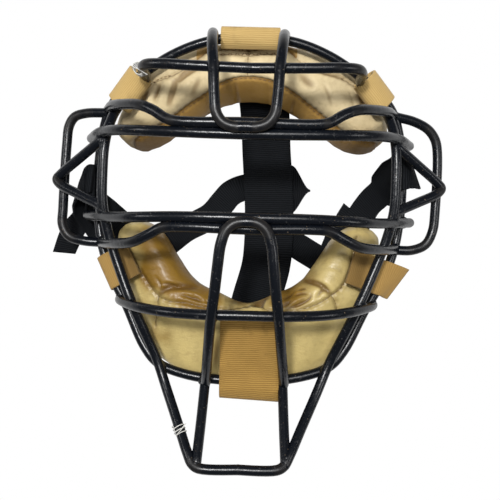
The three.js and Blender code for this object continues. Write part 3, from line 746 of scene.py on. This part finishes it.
def leather_finish(name, fresh, wear_and_shade, darkening, gloss, specular, coat, over=None):
    """Sewn leather: fine grain, cloudy wear mixed with painted shade, painted shade in its creases, on
    its walls and beside its seams, and a dark line in each seam.

    `over` takes the finish and its colour, and lays a second leather over part of it.
    """
    finish = Finish(name)
    where = finish.place()
    cloud = finish.noise(where, 26.0, 5.0, 0.62, 0.4)
    fine = finish.noise(where, 210.0, 6.0, 0.65, 0.3)
    streaks = finish.noise(finish.stretched(where, (1.0, 3.2, 1.0)), 95.0, 5.0, 0.7, 1.2)
    wear_and_shade_here = finish.attribute("wear_and_shade") + (cloud - 0.5) * 0.9 + (streaks - 0.5) * 0.35
    shade = finish.blend(wear_and_shade_here.between(0.12, 0.95), fresh, wear_and_shade)
    shade = finish.blend((fine - 0.42).between(0.0, 0.4) * 0.25, shade, darkening)
    # Painted shade: each crease is darkened by its depth.
    shade = finish.blend(finish.attribute("fold").between(0.1, 1.35) * 0.82, shade, darkening)
    # Painted shade on the walls, which face aside or back.
    wall = finish.attribute("wall")
    shade = finish.blend(wall * 0.45, shade, darkening)
    seam = finish.attribute("seam")
    # Painted shade beside each seam, where its groove sinks; the narrow dark line after it is the
    # seam's own.
    shade = finish.blend((1.0 - seam.between(0.5, 4.0)) * 0.3, shade, darkening)
    shade = finish.blend((1.0 - seam.between(0.1, 0.7)) * 0.6, shade, darker(darkening, 0.4))
    finish.give(Base_Color=over(finish, shade) if over else shade)
    rough = gloss + fine * 0.28 + wear_and_shade_here.between(0.2, 1.0) * 0.06 + wall * 0.2
    finish.give(Roughness=rough)
    cells = {"Vector": where, "Scale": 950.0}
    grain = finish.node("ShaderNodeTexVoronoi", {"feature": "SMOOTH_F1"}, cells, "Distance")
    relief = grain * 0.35 + fine * 0.9 + streaks * 1.4
    finish.give(Normal=finish.bump(relief, 0.0005, 0.55), Specular_IOR_Level=specular, Coat_Weight=coat)
    finish.give(Coat_Roughness=0.24)
    return finish


def stitches(rows, pad_tree, spacing, length, slant=0.0):
    """Stitches along a line: short round threads laid on the pad, each turned by the slant."""
    line = smooth_line(np.array(rows, float) + MASK_MIDDLE[:2], 20)
    reach = np.concatenate([[0], np.cumsum(np.linalg.norm(np.diff(line, axis=0), axis=1))])
    stops = np.arange(spacing, reach[-1] - spacing / 2, spacing)
    plan = np.stack([np.interp(stops, reach, line[:, axis]) for axis in (0, 1)], axis=1)
    ahead = np.stack([np.interp(stops + 0.5, reach, line[:, axis]) for axis in (0, 1)], axis=1) - plan
    hits = [pad_tree.ray_cast(Vector((x / 1000, y / 1000, 0.2)), Vector((0, 0, -1))) for x, y in plan]
    on_pad_shade = np.array([hit[0] is not None for hit in hits])
    centre = np.array([hit[0] for hit in hits if hit[0]]) * 1000
    up = np.array([hit[1] for hit in hits if hit[0]])
    ahead = ahead[on_pad_shade]
    turn = np.radians(slant) * (-1.0) ** np.arange(len(centre))
    ahead = np.stack([ahead[:, 0] * np.cos(turn) - ahead[:, 1] * np.sin(turn),
                      ahead[:, 0] * np.sin(turn) + ahead[:, 1] * np.cos(turn), 0 * turn], axis=1)
    ahead = unit(ahead - (ahead * up).sum(axis=1, keepdims=True) * up)
    side = np.cross(up, ahead)
    share = np.linspace(-1, 1, 7)[:, None]
    ring = np.linspace(0, 2 * pi, 6, endpoint=False)[None, :]
    radius = THREAD * np.sqrt(1 - 0.97 * share ** 2)
    shape = np.stack([share * length / 2 + 0 * ring, radius * np.cos(ring),
                      radius * np.sin(ring) + THREAD * (0.9 - 1.6 * share ** 2)], axis=-1)
    frames = np.stack([ahead, side, up], axis=1)
    return list(np.einsum("rsk,nkj->nrsj", shape, frames) + centre[:, None, None])


def tree_of(piece):
    mesh = piece.data
    corners = [tuple(face.vertices) for face in mesh.polygons]
    return BVHTree.FromPolygons([tuple(vertex.co) for vertex in mesh.vertices], corners)


def finish_pad(pad, material, node):
    material.wear(pad)
    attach(pad, "root")
    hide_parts(node)


forehead = blown_up(
    "forehead_cushion", FOREHEAD_STATIONS, FOREHEAD_SECTION, FOREHEAD_SEAMS, DRAWN_END)
places, front = sewn(forehead, FOREHEAD_SEAMS, FOREHEAD_CREASES)
plan = places - MASK_MIDDLE


def beside(seam, side):
    """How far each point lies to the left (1) or the right (-1) of a seam of the forehead pad."""
    apart, on_side, _ = from_line(places, FOREHEAD_SEAMS[seam])
    return side * on_side * apart


def flap(seam, side, middle, half_length):
    """Above 0 on the front, beside a seam, up to half a length from the flap's middle."""
    along = half_length - np.abs(plan[:, 0] - middle)
    return np.minimum(np.minimum(beside(seam, side), along), 10 * front - 9)


# Camel leather also shows in a short fold on either side of the top tab.
flaps = np.maximum(flap("left_fold", -1, -31, 6), flap("right_fold", 1, 25, 5))
# Painted shade at the pad's low ends: this share darkens the camel band, and adds to the cream's wear,
# which also grows down the pad.
low = np.clip((LOW_FROM - plan[:, 1]) / LOW_LENGTH, 0, 1)
write(forehead, "camel", np.maximum(beside("band", -1), flaps))
write(forehead, "low", low)
write(forehead, "wear_and_shade", np.clip((100 - plan[:, 1]) / 60, 0, 0.5) + 0.45 * low)


def camel_band(finish, shade):
    """Camel leather where "camel" is above 0, dark in its seams, with painted shade on its walls and at
    its low ends.
    """
    cloud = finish.noise(finish.place(), 34.0, 4.0, 0.6)
    camel = finish.blend(cloud.between(0.3, 0.75), (0.41, 0.245, 0.07), (0.31, 0.175, 0.042))
    in_seam = (1.0 - finish.attribute("seam").between(0.2, 1.6)) * 0.6
    camel = finish.blend(in_seam, camel, (0.10, 0.05, 0.015))
    # Painted shade on the band's walls and at its low ends.
    camel = finish.blend(finish.attribute("wall") * 0.7, camel, (0.085, 0.044, 0.009))
    camel = finish.blend(finish.attribute("low") * 0.8, camel, (0.13, 0.068, 0.010))
    return finish.blend(finish.attribute("camel").between(-0.25, 0.25), shade, camel)


cream = leather_finish(
    "cream_leather", (0.60, 0.485, 0.285), (0.43, 0.31, 0.145), (0.19, 0.12, 0.048), 0.36,
    specular=0.18, coat=0.03, over=camel_band)
finish_pad(forehead, cream, "forehead_pad")

chin = blown_up("chin_cushion", CHIN_STATIONS, CHIN_SECTION, CHIN_SEAMS)
places, front = sewn(chin, CHIN_SEAMS, CHIN_CREASES)
plan = places - MASK_MIDDLE
stained = [strength * np.exp(-((plan[:, 0] - x) ** 2 + (plan[:, 1] - y) ** 2) / radius ** 2)
           for x, y, radius, strength in CHIN_STAINS]
# Brown stains, with painted shade added on the walls, which face aside or back.
write(chin, "wear_and_shade", np.clip(np.sum(stained, axis=0) + (1 - front) * 0.3, 0, 1.2))
aged = leather_finish(
    "aged_leather", (0.47, 0.365, 0.145), (0.195, 0.107, 0.014), (0.095, 0.046, 0.008), 0.22,
    specular=0.28, coat=0.13)
finish_pad(chin, aged, "chin_pad")

THREAD_LINES = [
    # pad, line, spacing, length, slant
    (forehead, FOREHEAD_SEAMS["band"], 3.2, 2.5, 0),
    (forehead, FOREHEAD_SEAMS["middle"], 3.2, 2.5, 0),
    (forehead, [(-23, 125.6), (-3, 125.8), (17, 126.8)], 2.4, 3.4, 48),
    (forehead, [(-23, 122.0), (-3, 122.4), (17, 123.2)], 2.4, 3.4, 48),
    (forehead, [(-70, 101), (-62, 106), (-52, 108.5)], 2.8, 2.2, 0),
    (chin, CHIN_SEAMS["left_arm"], 3.0, 2.4, 0),
    (chin, CHIN_SEAMS["right_arm"], 3.0, 2.4, 0),
]
trees = {pad.name: tree_of(pad) for pad in (forehead, chin)}
thread = Finish("thread", Base_Color=(0.17, 0.10, 0.04, 1.0), Roughness=0.7)
twist = thread.noise(thread.place(), 2600.0, 2.0)
thread.give(Normal=thread.bump(twist, 0.0002, 0.6))
seam_thread = close_up(make_mesh("seam_thread", [
    grid for pad, rows, spacing, length, slant in THREAD_LINES
    for grid in stitches(rows, trees[pad.name], spacing, length, slant)]))
thread.wear(seam_thread)
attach(seam_thread, "root")

# ---------------------------------------------------------------- white thread
# Two lengths of white cotton thread, wound by hand round rods of the cage: one at the left end
# of the forehead bar, one on the left side of the throat guard. Their loose ends stand off.

WRAP_THREAD = 0.6
WRAP_CLEAR = 0.45      # from the rod's skin to the middle of the thread
WRAP_PITCH = 0.36      # along the rod for each radian round it
WRAPS = [
    # middle of the wrapped stretch, direction of the rod, turns, loose end
    ((-68.9, 104.6, 78), (-0.05, 0.0, 1.0), 4, (-63.5, 100, 84)),
    ((-39.6, -121.5, 70.3), (0.42, -0.86, 0.46), 3, (-35.5, -116.5, 75)),
]


def wrap(middle, along, turns, loose):
    """Rows of thread wound round a rod: radius * (cos, sin) of the turn, and on along the rod."""
    ahead = unit(np.array(along, float))
    side = unit(np.cross(ahead, (0.2, 0.9, 0.4)))
    turn = np.linspace(0, turns * 2 * pi, 12 * turns)[:, None]
    wobble = 1 + 0.05 * np.sin(3.1 * turn)
    ring = side * np.cos(turn) + np.cross(ahead, side) * np.sin(turn)
    rows = np.array(middle) + (FRAME_WIRE / 2 + WRAP_CLEAR) * wobble * ring
    rows = rows + ahead * (turn - turn.mean()) * WRAP_PITCH
    return np.vstack([rows, 0.5 * (rows[-1] + np.array(loose)) + (0, 0, 2), loose])


white_thread = Finish("white_thread", Base_Color=(0.55, 0.54, 0.50, 1.0), Roughness=0.8)
wrapping = close_up(make_mesh("thread_wraps", [
    rod(wrap(*row), WRAP_THREAD, row[1])[0] for row in WRAPS]))
white_thread.wear(wrapping)
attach(wrapping, "root")

# ---------------------------------------------------------------- tan tabs
# Each tab is a band of tan webbing, sewn to a pad and wrapped over the rim of the cage.
# The weave shows as fine ribs across the band. The outer face lies on the front of the pad.

TAB_THICK = 2.0
EDGE = 0.45            # how far the round edge of a band stands out
TOP_TAB_LINE = [
    # inwards from the rim, out from the rim
    (8, 0.9), (5.2, 4.4), (0, 5.6), (-4.2, 3.4), (-5.2, -1), (-3.4, -4.8), (1, -5.8), (5.8, -4.6)]
CORNER_TAB_LINE = [
    (12, 2.8), (11.4, 7.2), (6.8, 9.4), (0, 7), (-4, 3.6), (-5.4, -0.5), (-3.6, -4.5), (1, -5.6),
    (6, -4.8), (9.8, -3.4)]
LEFT_CHEEK_TAB_LINE = [
    (18, 10.6), (15, 9.2), (11, 7.4), (6, 5.4), (0, 4.6), (-4.2, 2.2), (-4.4, -2.2), (-1, -4.8),
    (4, -5.4)]
RIGHT_CHEEK_TAB_LINE = [
    (25, 15), (18, 12.2), (12, 9.4), (6, 6.4), (0, 4.8), (-5, 2.6), (-11, -1.5)]
CHIN_STRAP_LINE = [
    (46, 10.5), (38, 9.5), (28, 7.5), (16, 5.4), (6, 5), (0, 5), (-5, 4.4), (-10.4, 1), (-6, -3.6),
    (0, -5), (4, -5.2)]


def band_section(thick):
    """Section of a band: (across from -1 to 1, through in mm, overhang in mm), round at its edges."""
    flat = np.linspace(-1, 1, 19)
    turn = np.linspace(-pi / 2, pi / 2, 7)[1:-1]
    top = np.stack([flat, np.full(19, thick / 2), np.zeros(19)], axis=1)
    right = np.stack([np.ones(5), -np.sin(turn) * thick / 2, np.cos(turn) * EDGE], axis=1)
    return np.vstack([top, right, top[::-1] * (1, -1, 1), right * (-1, -1, -1)])


def band(line, across, through, width, thick):
    """Band of webbing: line + across * (half width * a + overhang) + through * height.

    The half width draws in by the thickness at both ends, so that the cut ends are round.
    The second and third grids are how far each point is along and across, in mm.
    """
    section = band_section(thick)
    length = np.concatenate([[0], np.cumsum(np.linalg.norm(np.diff(line, axis=0), axis=1))])
    half = np.broadcast_to(np.asarray(width, float) / 2, (len(line),)) - EDGE
    ends = np.array([0.0, 0.6, 0.9])
    shrink = np.concatenate([ends, np.ones(len(line) - 2), ends[::-1]])[:, None]
    pick = np.concatenate([[0, 0], np.arange(len(line)), [len(line) - 1] * 2])
    aside = half[pick][:, None] * section[None, :, 0] + section[None, :, 2] * shrink
    height = section[None, :, 1] * shrink
    points = line[pick][:, None] + across[pick][:, None] * aside[..., None]
    points = points + through[pick][:, None] * height[..., None]
    return points, np.repeat(length[pick][:, None], len(section), 1), aside


def tab_band(line, width, place, heading, lean, skew):
    """Tab: its middle line lies in an upright plane turned to the heading, leant to the rim.

    Beyond the rim it is sheared inwards by the skew for each millimetre across it.
    """
    edge = smooth_line(np.array(line, float), 8)
    zeros = np.zeros(len(edge))
    flat = np.stack([edge[:, 0], zeros, edge[:, 1]], axis=1)
    tip, turn = radians(lean), radians(heading)
    lean_x = np.array([[1, 0, 0], [0, cos(tip), sin(tip)], [0, -sin(tip), cos(tip)]])
    turn_z = np.array([[cos(turn), sin(turn), 0], [-sin(turn), cos(turn), 0], [0, 0, 1]])
    posed = flat @ lean_x @ turn_z + np.array(place, float) + MASK_MIDDLE
    across = np.broadcast_to(np.array([0.0, 1.0, 0.0]) @ lean_x @ turn_z, posed.shape)
    through = unit(np.cross(unit(np.gradient(posed, axis=0)), across))
    points, along, aside = band(posed, across, through, width, TAB_THICK)
    beyond = np.clip(-np.pad(edge[:, 0], 2, mode="edge") / 8, 0, 1)[:, None] * skew * aside
    return points + beyond[..., None] * (cos(turn), sin(turn), 0), along, aside


def webbing_finish(name, shaded_ground, lit, pitch, darkening, strength, shaded_end=0.1):
    """Ribbed webbing: a weft rib each `pitch` mm along it, crossed by fine warp threads.

    Its end that lies on the pad, as long as the length given in mm, is darkened with painted shade.
    """
    finish = Finish(name)
    along, aside = finish.attribute("along"), finish.attribute("aside")
    where = finish.place()
    waver = finish.noise(where, 160.0, 2.0) * 0.9 + along * (1 / pitch)
    ribs = (waver * (2 * pi)).math("SINE") * 0.5 + 0.5
    warp = (aside * (2 * pi / 0.62) + (waver * pi).math("SINE") * 0.6).math("SINE") * 0.5 + 0.5
    weave = ribs * 0.7 + warp * 0.3
    uneven = finish.noise(where, 90.0, 4.0, 0.6)
    # The weave is painted in light and shade: its crests take the lit colour and the grooves between
    # take the shaded one, over an uneven tone.
    shade = finish.blend(weave * 0.75 + uneven * 0.3, shaded_ground, lit)
    shade = finish.blend(uneven.between(0.52, 0.78) * darkening, shade, darker(shaded_ground, 0.45))
    # Painted shade on the end that lies on the pad.
    on_pad_shade = 1.0 - along.between(0.6 * shaded_end, shaded_end)
    shade = finish.blend(on_pad_shade * 0.6, shade, darker(shaded_ground, 0.5))
    finish.give(Base_Color=shade, Roughness=0.62 + uneven * 0.2)
    finish.give(Normal=finish.bump(weave, 0.00022, strength), Sheen_Weight=0.1, Sheen_Roughness=0.5)
    finish.give(Specular_IOR_Level=0.16)
    return finish


tan_webbing = webbing_finish(
    "tan_webbing", (0.33, 0.205, 0.065), (0.53, 0.375, 0.148), 1.25, 0.35, 0.6)
chin_webbing = webbing_finish(
    "chin_webbing", (0.14, 0.072, 0.013), (0.40, 0.24, 0.060), 1.34, 0.45, 0.9)
cheek_webbing = webbing_finish(
    "cheek_webbing", (0.22, 0.125, 0.032), (0.36, 0.225, 0.070), 1.25, 0.35, 0.5, shaded_end=15.0)
TABS = [
    # name, middle line, width, place, heading of its inward side, lean along its width, skew, finish
    ("top_tab", TOP_TAB_LINE, 38.5, (-0.9, 132.0, 57), -90, 0, 0, tan_webbing),
    ("upper_left_tab", CORNER_TAB_LINE, 24.5, (-82.3, 99.7, 47.8), -38.5, 14.4, 0, tan_webbing),
    ("upper_right_tab", CORNER_TAB_LINE, 22.5, (83.6, 101.7, 47.7), -138.5, -14.4, 0, tan_webbing),
    ("left_cheek_tab", LEFT_CHEEK_TAB_LINE, 24, (-91.4, -23.4, 38), 27, -8.2, 0, cheek_webbing),
    ("right_cheek_tab", RIGHT_CHEEK_TAB_LINE, 24, (91.6, -24.6, 38), 164, 8.2, 0.38, cheek_webbing),
    ("chin_strap", CHIN_STRAP_LINE, 39, (3.4, -93.8, 52), 90, 0, 0.05, chin_webbing),
]
for name, line, width, place, heading, lean, skew, finish in TABS:
    points, along, aside = tab_band(line, width, place, heading, lean, skew)
    tab = close_up(make_mesh(name + "_band", [points], {"along": [along], "aside": [aside]}))
    finish.wear(tab)
    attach(tab, "root")
    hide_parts(name)

# ---------------------------------------------------------------- black harness
# Straps of ribbed black webbing that hold the mask on the head, loose behind the cage.
# They lie where they fell: folded over the rim at the sides, and crossed on the table.

STRAP_THICK = 1.8
LAID = 1.2             # middle of a strap that lies on the table, on another strap, or on two
TWICE = 3.3
THRICE = 5.4

CROWN_ROUTE = [
    # x, y, z, width, turn of the width
    (2, -62, TWICE, 35, -14), (6, -44, TWICE, 35, -14), (12.5, -19, TWICE, 35, -10),
    (14, -2, THRICE, 35, 0), (14, 20, THRICE, 35, 0), (12.5, 45, THRICE, 35, 3), (11, 64, LAID, 35, 4),
    (10.2, 78, LAID + 2, 35, 4), (9, 93, 8, 35, 4), (7.5, 104, 12.6, 35, 4), (6, 117, 14.8, 35, 4)]

CROSS_ROUTE_LEFT = [
    (-61, -5.8, LAID, 19, -45), (-56, -1.5, LAID, 19, -48), (-46, 6.5, LAID, 19, -56),
    (-36, 11.8, LAID, 19, -56), (-27, 17.6, LAID, 19, -46), (-20, 26, LAID, 19, -40),
    (-13.5, 33.4, LAID, 19, -52), (-3, 37.8, LAID, 19, -76), (14, 38, LAID, 27, -88),
    (29.5, 37, LAID, 35, -90), (43.4, 36.4, LAID, 1.5, -90)]

CROSS_ROUTE_RIGHT = [
    (19, 27, LAID + STRAP_THICK - 0.1, 19, 0), (20, 13, LAID + STRAP_THICK - 0.1, 19, 18),
    (27, 1.5, LAID + 1, 19, 45), (38, -5.5, LAID, 19, 58), (50, -12.5, LAID, 19, 58),
    (61, -19, LAID, 19, 57)]

LEFT_SIDE_ROUTE = [
    (-9, -69, LAID, 25, 52), (-22, -59.5, LAID, 25, 52), (-38, -47, LAID, 25, 50),
    (-53, -34, TWICE, 25, 48), (-75, -11.5, TWICE, 25, 46), (-86, -1.5, LAID, 25, 47),
    (-95.5, 8, 2.6, 24, 48), (-102.6, 14.6, 7, 24, 52), (-107.4, 20, 14, 23, 60),
    (-110.4, 26, 24, 23, 76), (-110.6, 31, 33, 23, 88), (-107.6, 33.6, 38.6, 25, 90),
    (-104.2, 34.5, 40.3, 25, 90)]

LEFT_SECOND_ROUTE = [
    (-76, -22, LAID, 25, 47), (-88, -10, LAID + 2, 25, 47), (-97, -1.5, LAID + 3.4, 25, 47),
    (-105, 6, 7, 25, 49), (-112, 13, 12, 22, 56), (-117.6, 19, 20, 17, 62), (-119.4, 25.5, 28, 14, 74),
    (-115.4, 32, 35, 15, 80), (-110.8, 38.5, 39.4, 15, 90)]

LEFT_END_ROUTE = [
    (-104.8, 38.4, 42.6, 19, 84), (-108.6, 38, 40.4, 20, 86), (-112.2, 36, 35, 18, 90),
    (-113.4, 30, 27, 16, 96), (-114.6, 22, 18, 13, 108), (-119.6, 12.6, 10.5, 15, 130),
    (-127, 3, 5, 17, 150), (-133.8, -12.8, LAID, 16.6, 176)]

RIGHT_SIDE_ROUTE = [
    (9, -69, LAID, 25, -52), (22, -59.5, LAID, 25, -52), (38, -47, LAID, 25, -50),
    (52, -33, TWICE, 25, -46), (64, -15, TWICE, 25, -32), (69.6, -3, TWICE, 23, -26),
    (75, 9, LAID + 1.6, 21, -29), (80.6, 19.6, LAID + 2, 20, -37), (86.6, 29, 5.4, 19.6, -47),
    (91.8, 34.4, 9.6, 20, -54), (93.4, 37.2, 12.8, 25, -57), (96, 42.8, 22, 26, -68),
    (98, 46, 33, 25, -82), (99.4, 47.6, 39, 25, -88), (103.6, 48.2, 41.4, 25, -88),
    (108.2, 48, 39, 22, -84), (111.2, 47.2, 34, 20, -76), (114.4, 46.5, 27, 19, -70)]

RIGHT_SECOND_ROUTE = [
    (61, -12, LAID, 23, -30), (66.4, 2, LAID, 23, -29), (71.8, 13, LAID, 22, -33),
    (76, 21.6, LAID, 21, -38)]


def smooth_pairs(rows):
    """Width and turn between the rows: each eases from one row's value to the next."""
    share = (np.arange(10) / 10)[None, :, None]
    ease = share * share * (3 - 2 * share)
    pairs = rows[:-1, None, 3:] * (1 - ease) + rows[1:, None, 3:] * ease
    return np.vstack([pairs.reshape(-1, 2), rows[-1, 3:]]).T


def strap_band(route):
    """Strap along a route, its width turned in plan by the angle of each row."""
    rows = np.array(route, float)
    line = smooth_line(rows[:, :3], 10)
    widths, turns = smooth_pairs(rows)
    angle = np.radians(turns)
    across = np.stack([np.cos(angle), np.sin(angle), np.zeros(len(angle))], axis=1)
    through = unit(np.cross(unit(np.gradient(line, axis=0)), across))
    return band(line + MASK_MIDDLE, across, through, widths, STRAP_THICK)


black_webbing = webbing_finish(
    "black_webbing", (0.0003, 0.0004, 0.0006), (0.015, 0.0165, 0.019), 1.45, 0.2, 1.0)
black_webbing.give(Sheen_Weight=0.0, Specular_IOR_Level=0.025)
HARNESS = [
    # name, routes of its straps
    ("crown_strap", [CROWN_ROUTE]),
    ("cross_strap", [CROSS_ROUTE_LEFT, CROSS_ROUTE_RIGHT]),
    ("left_side_strap", [LEFT_SIDE_ROUTE, LEFT_SECOND_ROUTE, LEFT_END_ROUTE]),
    ("right_side_strap", [RIGHT_SIDE_ROUTE, RIGHT_SECOND_ROUTE]),
]
for name, routes in HARNESS:
    bands = [strap_band(route) for route in routes]
    strap = close_up(make_mesh(
        name + "_band", [points for points, _, _ in bands],
        {"along": [along for _, along, _ in bands], "aside": [aside for _, _, aside in bands]}))
    black_webbing.wear(strap)
    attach(strap, "root")
    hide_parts(name)
